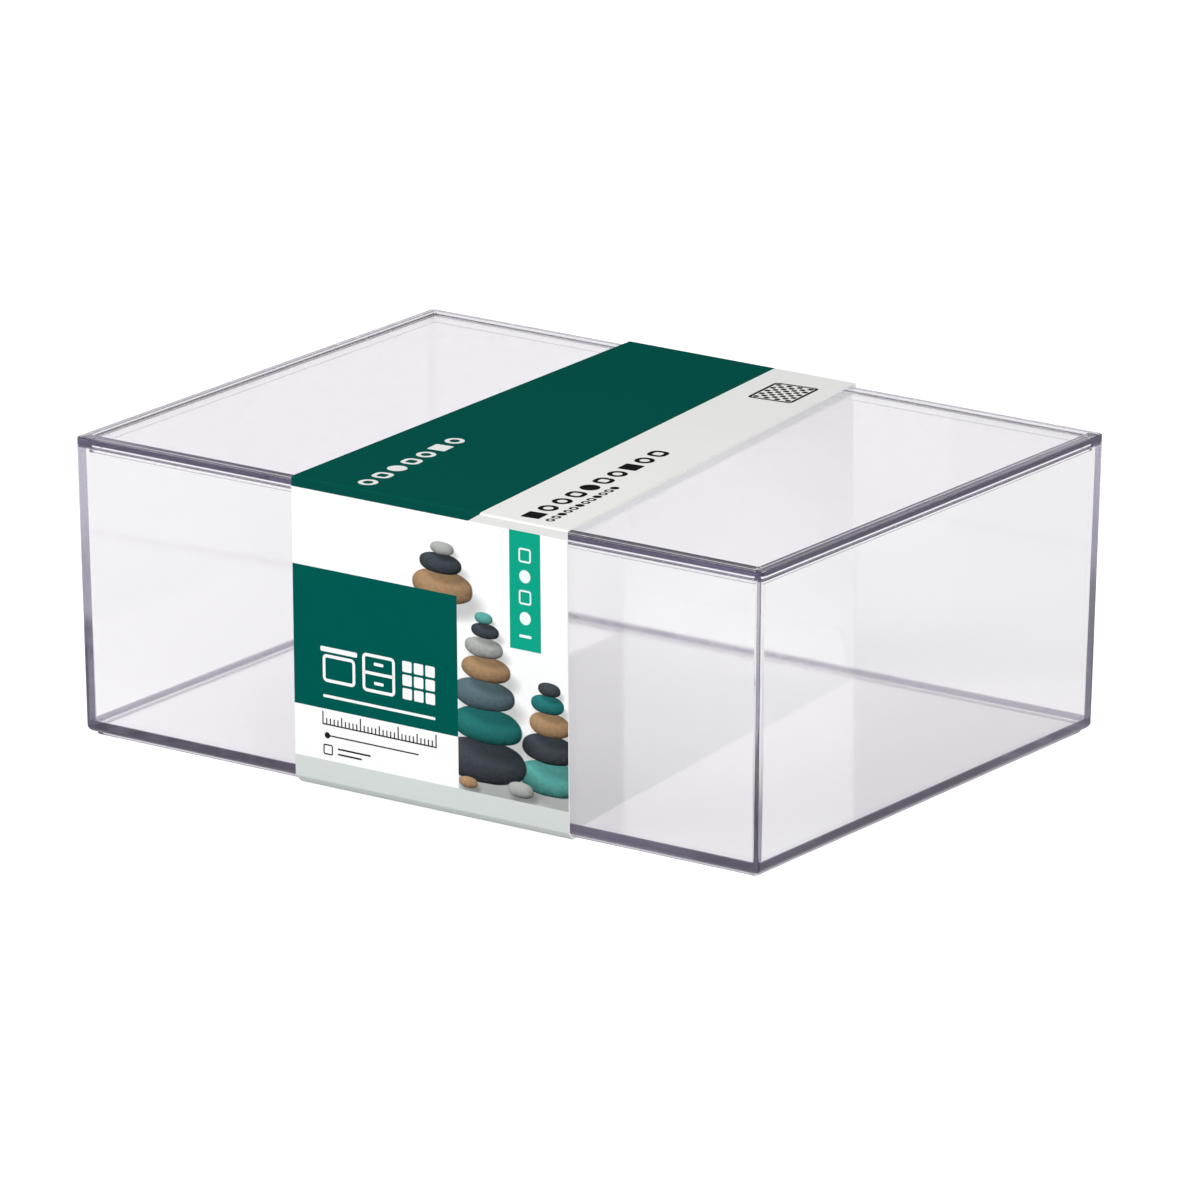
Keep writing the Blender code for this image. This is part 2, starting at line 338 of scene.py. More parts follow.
foot_z = box_low.z
wall_top_z = box_high.z
ledge_z = foot_z + FOOT_STEP
base_z = ledge_z + BASE_ROUND
base_inset = lean(base_z)
foot_inset = base_inset + BASE_ROUND + FOOT_LEDGE
foot_inner = foot_inset + FOOT_RING
foot_round_z = foot_z + FOOT_ROUND
floor_z = ledge_z + FLOOR
inner_inset = lean(floor_z + FLOOR_FILLET) + WALL
rim_z = wall_top_z - RIM_ROUND
section = [(foot_inner, ledge_z)]
section += arc(foot_inner - FOOT_ROUND, foot_round_z, FOOT_ROUND, 0, -QUARTER, SMALL_ROUND_STEPS)
section += arc(foot_inset + FOOT_ROUND, foot_round_z, FOOT_ROUND, -QUARTER, -QUARTER, SMALL_ROUND_STEPS)
section += [(foot_inset, ledge_z)]
section += arc(base_inset + BASE_ROUND, base_z, BASE_ROUND, -QUARTER, -QUARTER)
section += arc(RIM_ROUND, rim_z, RIM_ROUND, math.pi, -QUARTER, SMALL_ROUND_STEPS)
inner_ring = len(section)
section += arc(WALL - RIM_ROUND, rim_z, RIM_ROUND, QUARTER, -QUARTER, SMALL_ROUND_STEPS)
section += arc(inner_inset + FLOOR_FILLET, floor_z + FLOOR_FILLET, FLOOR_FILLET, math.pi, QUARTER)
box_shell = mould("box_shell", section, inner_ring, INNER_CORNER_ROUND)

NUMBER = "NodeSocketFloat"
CLEAR = (1, 1, 1, 1)
PLASTIC_IOR = 1.59
PLASTIC_TINT = (0.90, 0.89, 0.925, 1)
BOX_DENSITY = 24.0
SHADOW_TINT = (0.99, 0.989, 0.991, 1)
SKIN_WAVES = (70, 1)
SKIN_HAZE = (420, 2)
HAZE_SPAN = (0.3, 0.7)
SKIN_ROUGHNESS = (0.025, 0.055)
SKIN_RELIEF = 0.4
SKIN_DEPTH = 0.00003


def new_group(name, takes, gives):
    """A shader node group with named inputs and outputs. Returns it, what it is given and its results."""
    group = bpy.data.node_groups.new(name, "ShaderNodeTree")
    for socket, kind in takes.items():
        group.interface.new_socket(socket, in_out="INPUT", socket_type=kind)
    for socket, kind in gives.items():
        group.interface.new_socket(socket, in_out="OUTPUT", socket_type=kind)
    given = group.nodes.new("NodeGroupInput").outputs
    result = group.nodes.new("NodeGroupOutput").inputs
    return group, given, result


def add_group(tree, group, values):
    """Places a node group, under its name, in a material, with values of its own. Returns its results."""
    made = tree.nodes.new("ShaderNodeGroup")
    made.name = group.name
    made.node_tree = group
    for socket, value in values.items():
        feed(tree, made.inputs[socket], value)
    return made.outputs


def add_noise(tree, scale, detail):
    """A noise on a piece's own place, from 0 to 1. Returns its value."""
    coordinates = tree.nodes.new("ShaderNodeTexCoord")
    made = tree.nodes.new("ShaderNodeTexNoise")
    made.inputs["Scale"].default_value = scale
    made.inputs["Detail"].default_value = detail
    tree.links.new(coordinates.outputs["Object"], made.inputs["Vector"])
    return made.outputs["Fac"]


def add_relief(tree, height, strength, distance):
    """A Bump node on a height. Returns its normal."""
    made = tree.nodes.new("ShaderNodeBump")
    made.inputs["Strength"].default_value = strength
    made.inputs["Distance"].default_value = distance
    tree.links.new(height, made.inputs["Height"])
    return made.outputs["Normal"]


# the moulded skin isn't quite even: it is faintly wavy, and its gloss varies
skin, given, result = new_group(
    "moulded_skin",
    {"Least Roughness": NUMBER, "Most Roughness": NUMBER},
    {"Roughness": NUMBER, "Height": NUMBER},
)
haze = add_noise(skin, *SKIN_HAZE)
gloss = add_span(skin, haze, *HAZE_SPAN, given["Least Roughness"], given["Most Roughness"])
skin.links.new(gloss, result["Roughness"])
skin.links.new(add_noise(skin, *SKIN_WAVES), result["Height"])


def clear_polystyrene(name, density):
    """Clear plastic with a violet cast that deepens with the way light goes through it."""
    material = bpy.data.materials.new(name)
    material.use_nodes = True
    tree = material.node_tree
    plastic = tree.nodes["Principled BSDF"]
    plastic.inputs["Base Color"].default_value = CLEAR
    plastic.inputs["IOR"].default_value = PLASTIC_IOR
    plastic.inputs["Transmission Weight"].default_value = 1
    least, most = SKIN_ROUGHNESS
    surface = add_group(tree, skin, {"Least Roughness": least, "Most Roughness": most})
    tree.links.new(surface["Roughness"], plastic.inputs["Roughness"])
    normal = add_relief(tree, surface["Height"], SKIN_RELIEF, SKIN_DEPTH)
    tree.links.new(normal, plastic.inputs["Normal"])
    path = tree.nodes.new("ShaderNodeLightPath").outputs
    soft = add_math(tree, "MAXIMUM", path["Is Shadow Ray"], path["Is Diffuse Ray"])
    let_through = tree.nodes.new("ShaderNodeBsdfTransparent")
    let_through.inputs["Color"].default_value = SHADOW_TINT
    choice = tree.nodes.new("ShaderNodeMixShader")
    tree.links.new(soft, choice.inputs[0])
    tree.links.new(plastic.outputs[0], choice.inputs[1])
    tree.links.new(let_through.outputs[0], choice.inputs[2])
    absorb = tree.nodes.new("ShaderNodeVolumeAbsorption")
    absorb.inputs["Color"].default_value = PLASTIC_TINT
    absorb.inputs["Density"].default_value = density
    end = tree.nodes["Material Output"]
    tree.links.new(choice.outputs[0], end.inputs["Surface"])
    tree.links.new(absorb.outputs[0], end.inputs["Volume"])
    return material


# painted shade: the lower edge and the corners' feet are tinted dark, standing in for the dark that light
# bent and reflected inside the thick plastic shows there
PAINTED_EDGE_SHADE = (0.16, 0.14, 0.20, 1)
CORNER_SHADE_WIDTH = 0.0026
CORNER_SHADE_TOP = 0.017
CORNER_SHADE_FADE_TOP = 0.040
EDGE_SHADE_REACH = 0.0032
EDGE_SHADE_TOP = 0.0050
SHADE_FADE = 0.0004

box_plastic = clear_polystyrene("clear_box_plastic", BOX_DENSITY)
tree = box_plastic.node_tree
place = add_place(tree)
depths = add_depths(tree, place, box_high)
from_corner = add_math(tree, "MAXIMUM", *depths)
from_outside = add_math(tree, "MINIMUM", *depths)
corner = add_span(tree, from_corner, CORNER_SHADE_WIDTH, CORNER_SHADE_WIDTH + SHADE_FADE, 1, 0)
corner_shade_height = add_span(tree, place["Z"], CORNER_SHADE_TOP, CORNER_SHADE_FADE_TOP, 1, 0, smooth=True)
outside = add_span(tree, from_outside, EDGE_SHADE_REACH, EDGE_SHADE_REACH + SHADE_FADE, 1, 0)
lower_edge = add_span(tree, place["Z"], EDGE_SHADE_TOP, EDGE_SHADE_TOP + SHADE_FADE, 1, 0)
corner_shade = add_math(tree, "MULTIPLY", corner, corner_shade_height)
edge_shade = add_math(tree, "MULTIPLY", outside, lower_edge)
painted_shade = add_math(tree, "MAXIMUM", corner_shade, edge_shade)
plastic = tree.nodes["Principled BSDF"]
# the painted shade darkens the plastic's own colour at the lower edge and the corners' feet
tree.links.new(add_mix(tree, painted_shade, CLEAR, PAINTED_EDGE_SHADE), plastic.inputs["Base Color"])
box_shell.data.materials.append(box_plastic)
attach(box_shell, "box")
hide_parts("box_body")

# Lid
# A flat moulding of the same plastic: a raised rim round a recessed panel, and a lip that plugs the box.
# The rim falls a little to the outside, which turns the light that enters it along the lid.
LID_DENSITY = 100.0
LID_SEAT_GAP = 0.00015
LID_RIM = 0.0032
LID_RECESS = 0.0008
LID_PANEL = 0.0019
RIM_FALL = 0.00045
RECESS_FILLET = 0.0005
LID_TOP_ROUND = 0.0003
LID_TOP_STEPS = 5
LID_LOWER_ROUND = 0.0003
LID_LOWER_STEPS = 6
LID_CORNER_ROUND = 0.0008
LIP_WIDTH = 0.0009
LIP_ROUND = 0.0002
LIP_FIT = 0.0004

lid_top_z = lid_high.z
lid_under_z = wall_top_z + LID_SEAT_GAP
lower_z = lid_under_z + LID_LOWER_ROUND
upper_z = lid_top_z - RIM_FALL - LID_TOP_ROUND
lip_inset = WALL + LIP_FIT
lip_low_inset = lean(lid_low.z) + lip_inset
lip_inner = lip_low_inset + LIP_WIDTH
lip_z = lid_low.z + LIP_ROUND
panel_z = lid_top_z - LID_RECESS
recess_wall = LID_RIM - RECESS_FILLET / 2
lid_rim_z = lid_top_z - RIM_ROUND
section = [(lip_inner, panel_z - LID_PANEL)]
section += arc(lip_inner - LIP_ROUND, lip_z, LIP_ROUND, 0, -QUARTER, SMALL_ROUND_STEPS)
section += arc(lip_low_inset + LIP_ROUND, lip_z, LIP_ROUND, -QUARTER, -QUARTER, SMALL_ROUND_STEPS)
section += [(lip_inset, lid_under_z)]
section += arc(LID_LOWER_ROUND, lower_z, LID_LOWER_ROUND, -QUARTER, -QUARTER, LID_LOWER_STEPS)
section += arc(LID_TOP_ROUND, upper_z, LID_TOP_ROUND, math.pi, -QUARTER, LID_TOP_STEPS)
recess_ring = len(section)
section += arc(recess_wall - RIM_ROUND, lid_rim_z, RIM_ROUND, QUARTER, -QUARTER, SMALL_ROUND_STEPS)
section += arc(recess_wall + RECESS_FILLET, panel_z + RECESS_FILLET, RECESS_FILLET, math.pi, QUARTER)
lid_plate = mould("lid_plate", section, recess_ring, LID_CORNER_ROUND)
lid_plate.data.materials.append(clear_polystyrene("clear_lid_plastic", LID_DENSITY))
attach(lid_plate, "lid")
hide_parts("lid")

# Sleeve
# One strip of coated card, printed outside and white inside, folded round box and lid and glued at the
# lower back, where its flap goes up inside the back panel.
sleeve_low, sleeve_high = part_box("sleeve")

CARD = 0.0004
SLEEVE_FRONT_LEFT = -0.0392
SLEEVE_FRONT_RIGHT = sleeve_high.x
SLEEVE_BACK_LEFT = sleeve_low.x
SLEEVE_BACK_RIGHT = 0.0312
TRIM_OVERRUN = 0.05
FOLD_ROUND = 0.0006
FOLD_STEPS = 6
FLAP_LENGTH = 0.015
FLAP_TAPER = 0.004
GLUE_LINE = 0.0001
BACK_EDGE_RISE = 0.0008
CARD_CLEARANCE = 0.0003

card_top_z = sleeve_high.z - CARD
card_base_z = sleeve_low.z + CARD
card_front_y = sleeve_low.y + CARD
card_back_y = sleeve_high.y - CARD
front_lean = WALL_LEAN * (card_top_z - card_base_z) / (box_high.z - box_low.z)
flap_share = (box_high.z - card_base_z - FLAP_LENGTH) / (box_high.z - box_low.z)
back_lean = front_lean - (CARD + GLUE_LINE) / flap_share
# in front the card cuts across under the box's rounded lower edge, and this is how far it cuts the corner
cut_off = (2 - math.sqrt(2)) * (BASE_ROUND + CARD_CLEARANCE) + FOOT_STEP

back_top = Vector((0, card_back_y, card_top_z))
front_top = Vector((0, card_front_y, card_top_z))
front_base = Vector((0, card_front_y + front_lean, card_base_z))
back_base = Vector((0, card_back_y - back_lean, card_base_z))
front_up = (front_top - front_base).normalized()
back_up = (back_top - back_base).normalized()
back_inward = Vector((0, -back_up.z, back_up.y))
cut_edge = back_base + back_up * BACK_EDGE_RISE
flap_root = back_base + back_inward * (CARD + GLUE_LINE)
flap_end = flap_root + back_up * FLAP_LENGTH
cut_up = front_base + front_up * cut_off
cut_in = front_base + Vector((0, cut_off, 0))
strip = [cut_edge, back_top, front_top, cut_up, cut_in, flap_root, flap_end]
strip_left = sleeve_low.x - TRIM_OVERRUN
strip_right = sleeve_high.x + TRIM_OVERRUN


def work_on(piece):
    """Makes a piece the only one that is selected, and the active one."""
    bpy.ops.object.select_all(action="DESELECT")
    piece.select_set(True)
    bpy.context.view_layer.objects.active = piece


bpy.ops.object.select_all(action="DESELECT")
panel_middle = (cut_edge + back_top) / 2 + Vector(((strip_left + strip_right) / 2, 0, 0))
bpy.ops.mesh.primitive_plane_add(size=1, location=panel_middle)
sleeve_card = bpy.context.object
sleeve_card.name = "sleeve_card"
sleeve_card.scale = (strip_right - strip_left, (back_top - cut_edge).length, 1)
sleeve_card.rotation_euler.x = math.atan2(back_up.z, back_up.y)
bpy.ops.object.transform_apply(location=True, rotation=True, scale=True)
bpy.ops.object.mode_set(mode="EDIT")
pick(sleeve_card, lambda p: (p.yz - back_top.yz).length < CARD, "EDGE")
for here, there in zip(strip[1:], strip[2:]):
    bpy.ops.mesh.extrude_region_move(TRANSFORM_OT_translate={"value": there - here})
for before, fold, after in zip(strip, strip[1:], strip[2:]):
    angle = (before - fold).angle(after - fold)
    pick(sleeve_card, lambda p: (p.yz - fold.yz).length < CARD / 2, "EDGE")
    bpy.ops.mesh.bevel(offset=FOLD_ROUND / math.tan(angle / 2), segments=FOLD_STEPS, affect="EDGES")
front_left = Vector((SLEEVE_FRONT_LEFT, -BOX_SIZE.y / 2, 0))
front_right = Vector((SLEEVE_FRONT_RIGHT, -BOX_SIZE.y / 2, 0))
left_run = Vector((SLEEVE_BACK_LEFT, BOX_SIZE.y / 2, 0)) - front_left
right_run = Vector((SLEEVE_BACK_RIGHT, BOX_SIZE.y / 2, 0)) - front_right
for corner, run in ((front_left, left_run), (front_right, -right_run)):
    bpy.ops.mesh.select_all(action="SELECT")
    bpy.ops.mesh.bisect(plane_co=corner, plane_no=(-run.y, run.x, 0), clear_outer=True)
bpy.ops.mesh.select_all(action="SELECT")
bpy.ops.mesh.normals_make_consistent(inside=False)
pick(sleeve_card, lambda p: (p.yz - flap_end.yz).length < CARD / 2, "EDGE")
back_middle = (SLEEVE_BACK_LEFT + SLEEVE_BACK_RIGHT) / 2
taper = 1 - 2 * FLAP_TAPER / (SLEEVE_BACK_RIGHT - SLEEVE_BACK_LEFT)
bpy.ops.transform.resize(value=(taper, 1, 1), center_override=(back_middle, 0, 0))
bpy.ops.object.mode_set(mode="OBJECT")

bpy.ops.object.duplicate()
sleeve_print = bpy.context.object
sleeve_print.name = "sleeve_print"

work_on(sleeve_card)
board = sleeve_card.modifiers.new("card_thickness", "SOLIDIFY")
board.thickness = CARD
board.offset = 1
board.use_even_offset = True
bpy.ops.object.modifier_apply(modifier=board.name)
bpy.ops.object.shade_smooth_by_angle(angle=SMOOTH_ANGLE)

COLOUR = "NodeSocketColor"
BOARD_STRANDS = (1400, 3)
BOARD_CLOUDS = (60, 4)
BOARD_RELIEF = 0.15
BOARD_DEPTH = 0.00002
INK_DULLNESS = 1.0
INK_MOTTLE = 0.04
BARE_DULLNESS = 1.4
BARE_MOTTLE = 0.02


def add_dimmed(tree, colour, strength):
    """A colour times a strength. Returns the result."""
    made = tree.nodes.new("ShaderNodeVectorMath")
    made.operation = "SCALE"
    tree.links.new(colour, made.inputs[0])
    tree.links.new(strength, made.inputs["Scale"])
    return made.outputs[0]


# every ink is a coat on the same board, whose fibres show in it faintly
fibre, given, result = new_group(
    "board_fibre",
    {"Ink": COLOUR, "Mottle": NUMBER, "Dullness": NUMBER},
    {"Colour": COLOUR, "Roughness": NUMBER, "Height": NUMBER},
)
strands = add_noise(fibre, *BOARD_STRANDS)
grain = add_math(fibre, "ADD", strands, add_noise(fibre, *BOARD_CLOUDS))
uneven = add_math(fibre, "SUBTRACT", grain, 1)
shade = add_math(fibre, "MULTIPLY_ADD", uneven, given["Mottle"], 1)
fibre.links.new(add_dimmed(fibre, given["Ink"], shade), result["Colour"])
fibre.links.new(add_math(fibre, "MULTIPLY", strands, given["Dullness"]), result["Roughness"])
fibre.links.new(strands, result["Height"])


def tone(red, green, blue):
    """A colour given as it looks on a screen, from 0 to 255, made linear, with its alpha."""
    screen = Color((red / 255, green / 255, blue / 255))
    return (*screen.from_srgb_to_scene_linear(), 1)


def ink(name, colour, dullness=INK_DULLNESS, mottle=INK_MOTTLE):
    """A printed colour on the coated board."""
    material = bpy.data.materials.new(name)
    material.use_nodes = True
    tree = material.node_tree
    coat = tree.nodes["Principled BSDF"]
    coat.inputs["Specular IOR Level"].default_value = 0
    board = add_group(tree, fibre, {"Ink": colour, "Mottle": mottle, "Dullness": dullness})
    tree.links.new(board["Colour"], coat.inputs["Base Color"])
    tree.links.new(board["Roughness"], coat.inputs["Roughness"])
    normal = add_relief(tree, board["Height"], BOARD_RELIEF, BOARD_DEPTH)
    tree.links.new(normal, coat.inputs["Normal"])
    return material


sleeve_card.data.materials.append(ink("bare_board", tone(250, 250, 249), BARE_DULLNESS, BARE_MOTTLE))
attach(sleeve_card, "sleeve")
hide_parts("sleeve")

# Print
# Flat fields of ink on the outside of the card: green beside pale grey over the top and the back, made
# darker where they turn over the front fold as a painted shade, and below a green block, a white label, a
# tab and a picture.
INK_FILM = 0.00002
TOP_INK_FOOT = 0.0837
GREEN_BLOCK_TOP = 0.0622
GREEN_BLOCK_FOOT = 0.0229
LABEL_FOOT = 0.0084
BLOCK_RIGHT = 0.015
TAB_LEFT = 0.0323
TAB_RIGHT = 0.0424
TAB_FOOT = 0.0509
SEAM_FRONT = 0.0226
SEAM_BACK = 0.0046
SEAM_SLIP = 0.0036

work_on(sleeve_print)
bpy.ops.object.mode_set(mode="EDIT")
pick(sleeve_print, lambda p: p.y > 0 and card_base_z + CARD / 10 < p.z < flap_end.z)
bpy.ops.mesh.delete(type="FACE")
bpy.ops.mesh.select_all(action="SELECT")
bpy.ops.transform.shrink_fatten(value=CARD + INK_FILM, use_even_offset=True)


def on_front(p):
    """Whether a point is on the front panel."""
    return p.y < -BOX_SIZE.y / 4 and p.z > cut_up.z


for height in (TOP_INK_FOOT, GREEN_BLOCK_TOP, TAB_FOOT, GREEN_BLOCK_FOOT, LABEL_FOOT):
    pick(sleeve_print, on_front)
    bpy.ops.mesh.bisect(plane_co=(0, 0, height), plane_no=(0, 0, 1))
for across in (BLOCK_RIGHT, TAB_LEFT, TAB_RIGHT):
    pick(sleeve_print, lambda p: on_front(p) and p.z < TOP_INK_FOOT)
    bpy.ops.mesh.bisect(plane_co=(across, 0, 0), plane_no=(1, 0, 0))
seam_front = Vector((SEAM_FRONT, -BOX_SIZE.y / 2, 0))
seam_run = Vector((SEAM_BACK, BOX_SIZE.y / 2, 0)) - seam_front
pick(sleeve_print, lambda p: p.z > card_top_z or p.y > BOX_SIZE.y / 4 and p.z > card_base_z)
bpy.ops.mesh.bisect(plane_co=seam_front, plane_no=(-seam_run.y, seam_run.x, 0))
fold_seam = Vector((SEAM_FRONT, 0, card_top_z))
fold_across = Vector((card_top_z - TOP_INK_FOOT, 0, -SEAM_SLIP)).normalized()
pick(sleeve_print, lambda p: on_front(p) and TOP_INK_FOOT < p.z < card_top_z)
bpy.ops.mesh.bisect(plane_co=fold_seam, plane_no=fold_across)
bpy.ops.object.mode_set(mode="OBJECT")

inks = [
    ink("deep_green_ink", tone(9, 86, 77)),
    ink("pale_grey_ink", tone(251, 251, 249)),
    ink("green_ink", tone(2, 87, 79)),
    ink("white_ink", tone(250, 250, 250)),
    ink("teal_ink", tone(16, 162, 134)),
    ink("pale_strip_ink", tone(208, 214, 212)),
    ink("picture_ink", tone(150, 160, 160)),
    # painted shade: the two fold inks are the top's green and grey made darker, so the fold strip, lit like
    # the front, looks like the top
    ink("deep_green_fold_painted_shade_ink", tone(7, 76, 68)),
    ink("pale_grey_fold_painted_shade_ink", tone(222, 222, 220)),
]
DEEP_GREEN, PALE_GREY, GREEN, WHITE, TEAL, PALE_STRIP, PICTURE, SHADED_GREEN_FOLD, SHADED_GREY_FOLD = range(len(inks))


def ink_at(p):
    """Which ink covers the card at a point of the sleeve's outside."""
    # the strip below the front fold takes the darker fold inks, a painted shade
    if on_front(p) and TOP_INK_FOOT < p.z < card_top_z:
        seam_x = SEAM_FRONT - SEAM_SLIP * (card_top_z - p.z) / (card_top_z - TOP_INK_FOOT)
        return SHADED_GREEN_FOLD if p.x < seam_x else SHADED_GREY_FOLD
    if p.z > TOP_INK_FOOT or p.y > BOX_SIZE.y / 4 and p.z > cut_in.z + CARD:
        seam_x = SEAM_FRONT + (SEAM_BACK - SEAM_FRONT) * (p.y / BOX_SIZE.y + 0.5)
        return DEEP_GREEN if p.x < seam_x else PALE_GREY
    if p.z < LABEL_FOOT:
        return PALE_STRIP
    if TAB_LEFT < p.x < TAB_RIGHT and p.z > TAB_FOOT:
        return TEAL
    if p.x < BLOCK_RIGHT and p.z < GREEN_BLOCK_FOOT:
        return WHITE
    if p.x < BLOCK_RIGHT and p.z < GREEN_BLOCK_TOP:
        return GREEN
    return PICTURE


for material in inks:
    sleeve_print.data.materials.append(material)
for face in sleeve_print.data.polygons:
    face.material_index = ink_at(face.center)
bpy.ops.object.shade_smooth_by_angle(angle=SMOOTH_ANGLE)
bpy.ops.object.mode_set(mode="EDIT")
pick(sleeve_print, lambda p: ink_at(p) == PICTURE)
bpy.ops.mesh.separate(type="SELECTED")
bpy.ops.object.mode_set(mode="OBJECT")
sleeve_picture = (set(bpy.context.selected_objects) - {sleeve_print}).pop()
sleeve_picture.name = "sleeve_picture"
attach(sleeve_print, "sleeve")

# Picture
# A print on the front, round the green block: smooth pebbles in three stacks on a pale ground. Each one is
# painted over what lies under it, lit from above, with a soft shadow at its foot.
PICTURE_TOP = 0.0864
GROUND = (
    (0.09, tone(205, 211, 209)),
    (0.17, tone(214, 219, 218)),
    (0.24, tone(236, 238, 238)),
    (0.40, tone(246, 247, 247)),
    (1.00, tone(253, 253, 253)),
)
CHARCOAL = tone(66, 72, 78)
SLATE = tone(92, 112, 120)
DEEP_TEAL = tone(42, 118, 116)
SEA_GREEN = tone(92, 166, 160)
BRONZE = tone(170, 138, 104)
STONE_GREY = tone(172, 174, 172)
# each pebble's middle, across and up, half its width, half its height, and its stone
PEBBLES = (
    (0.0105, 0.0640, 0.0098, 0.0046, BRONZE),
    (0.0098, 0.0704, 0.0068, 0.0029, CHARCOAL),
    (0.0104, 0.0746, 0.0039, 0.0018, STONE_GREY),
    (0.0452, 0.0166, 0.0104, 0.0050, SEA_GREEN),
    (0.0446, 0.0247, 0.0085, 0.0042, CHARCOAL),
    (0.0450, 0.0315, 0.0068, 0.0034, BRONZE),
    (0.0443, 0.0371, 0.0054, 0.0026, DEEP_TEAL),
    (0.0449, 0.0413, 0.0036, 0.0019, CHARCOAL),
    (0.0236, 0.0176, 0.0136, 0.0062, CHARCOAL),
    (0.0246, 0.0277, 0.0114, 0.0050, DEEP_TEAL),
    (0.0234, 0.0362, 0.0100, 0.0043, SLATE),
    (0.0244, 0.0434, 0.0080, 0.0035, BRONZE),
    (0.0237, 0.0493, 0.0062, 0.0028, STONE_GREY),
    (0.0243, 0.0540, 0.0045, 0.0021, CHARCOAL),
    (0.0238, 0.0575, 0.0029, 0.0016, SEA_GREEN),
    (0.0352, 0.0117, 0.0042, 0.0022, STONE_GREY),
    (0.0182, 0.0108, 0.0030, 0.0016, BRONZE),
)
PEBBLE_FULLNESS = 2.3
EDGE_WAVES = (120, 1)
EDGE_WOBBLE = 0.35
EDGE_SPAN = (0.96, 1.06)
SPECKLES = (900, 3)
SPECKLE_LIGHT = 0.45
FLAT_LIGHT = 0.42
CROWN_LIGHT = 0.55
LIGHT_FROM_ABOVE = 0.42
LIGHT_FROM_LEFT = 0.16
LEAST_LIGHT = 0.12
SHADOW_SHIFT = 0.30
SHADOW_DROP = 0.85
SHADOW_SWELL = 1.2
SHADOW_FULLNESS = 2.0
SHADOW_SPAN = (0.25, 1.2)
SHADOW_DEPTH = 0.42

pebble, given, result = new_group(
    "painted_pebble",
    {
        "Under": COLOUR,
        "Across": NUMBER,
        "Height": NUMBER,
        "Half Width": NUMBER,
        "Half Height": NUMBER,
        "Stone": COLOUR,
    },
    {"Colour": COLOUR},
)
place = add_place(pebble)


def add_unevenness(scale, detail):
    """A noise in the pebble group that is 0 on average, within half a unit each way."""
    return add_math(pebble, "SUBTRACT", add_noise(pebble, scale, detail), 0.5)


def add_oval(shift_share, drop_share, swell, power):
    """How far a point is from an oval's middle, where 1 is its edge, with its two signed shares."""
    middle_x = add_math(pebble, "MULTIPLY_ADD", given["Half Width"], shift_share, given["Across"])
    middle_z = add_math(pebble, "MULTIPLY_ADD", given["Half Height"], -drop_share, given["Height"])
    shares = []
    for value, middle, half in (
        (place["X"], middle_x, given["Half Width"]),
        (place["Z"], middle_z, given["Half Height"]),
    ):
        offset = add_math(pebble, "SUBTRACT", value, middle)
        shares.append(add_math(pebble, "DIVIDE", offset, add_math(pebble, "MULTIPLY", half, swell)))
    powers = [add_math(pebble, "POWER", add_math(pebble, "ABSOLUTE", share), power) for share in shares]
    return add_math(pebble, "ADD", *powers), *shares


distance, across, rise = add_oval(0, 0, 1, PEBBLE_FULLNESS)
edge = add_math(pebble, "MULTIPLY_ADD", add_unevenness(*EDGE_WAVES), EDGE_WOBBLE, distance)
inside = add_span(pebble, edge, *EDGE_SPAN, 1, 0, smooth=True)
from_edge = add_math(pebble, "SUBTRACT", 1, distance)
crown = add_math(pebble, "SQRT", add_math(pebble, "MAXIMUM", from_edge, 0))
light = add_math(pebble, "MULTIPLY_ADD", crown, CROWN_LIGHT, FLAT_LIGHT)
light = add_math(pebble, "MULTIPLY_ADD", rise, LIGHT_FROM_ABOVE, light)
light = add_math(pebble, "MULTIPLY_ADD", across, -LIGHT_FROM_LEFT, light)
light = add_math(pebble, "MULTIPLY_ADD", add_unevenness(*SPECKLES), SPECKLE_LIGHT, light)
light = add_math(pebble, "MAXIMUM", light, LEAST_LIGHT)
shadow_distance = add_oval(SHADOW_SHIFT, SHADOW_DROP, SHADOW_SWELL, SHADOW_FULLNESS)[0]
shadow = add_span(pebble, shadow_distance, *SHADOW_SPAN, SHADOW_DEPTH, 0, smooth=True)
shaded_ground = add_dimmed(pebble, given["Under"], add_math(pebble, "SUBTRACT", 1, shadow))
lit_stone = add_dimmed(pebble, given["Stone"], light)
pebble.links.new(add_mix(pebble, inside, shaded_ground, lit_stone), result["Colour"])

tree = inks[PICTURE].node_tree
painted = add_ramp(tree, add_math(tree, "DIVIDE", add_place(tree)["Z"], PICTURE_TOP), GROUND)
for across, height, half_width, half_height, stone in PEBBLES:
    painted = add_group(tree, pebble, {
        "Under": painted,
        "Across": across,
        "Height": height,
        "Half Width": half_width,
        "Half Height": half_height,
        "Stone": stone,
    })["Colour"]
tree.links.new(painted, tree.nodes[fibre.name].inputs["Ink"])
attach(sleeve_picture, "sleeve")

# Printed marks
# Films of ink over the fields: three storage signs on the green block, small signs down the tab, a scale on
# the label, and on the top rows of plain shapes and a chequered tile. None of them says anything.
MARK_ROUND = 0.0004
MARK_CORNER_STEPS = 4
MOST_ROUND_SHARE = 1 / 2.2
FRAME_ROUND_SHARE = 1.5
DISC_CORNERS = 48


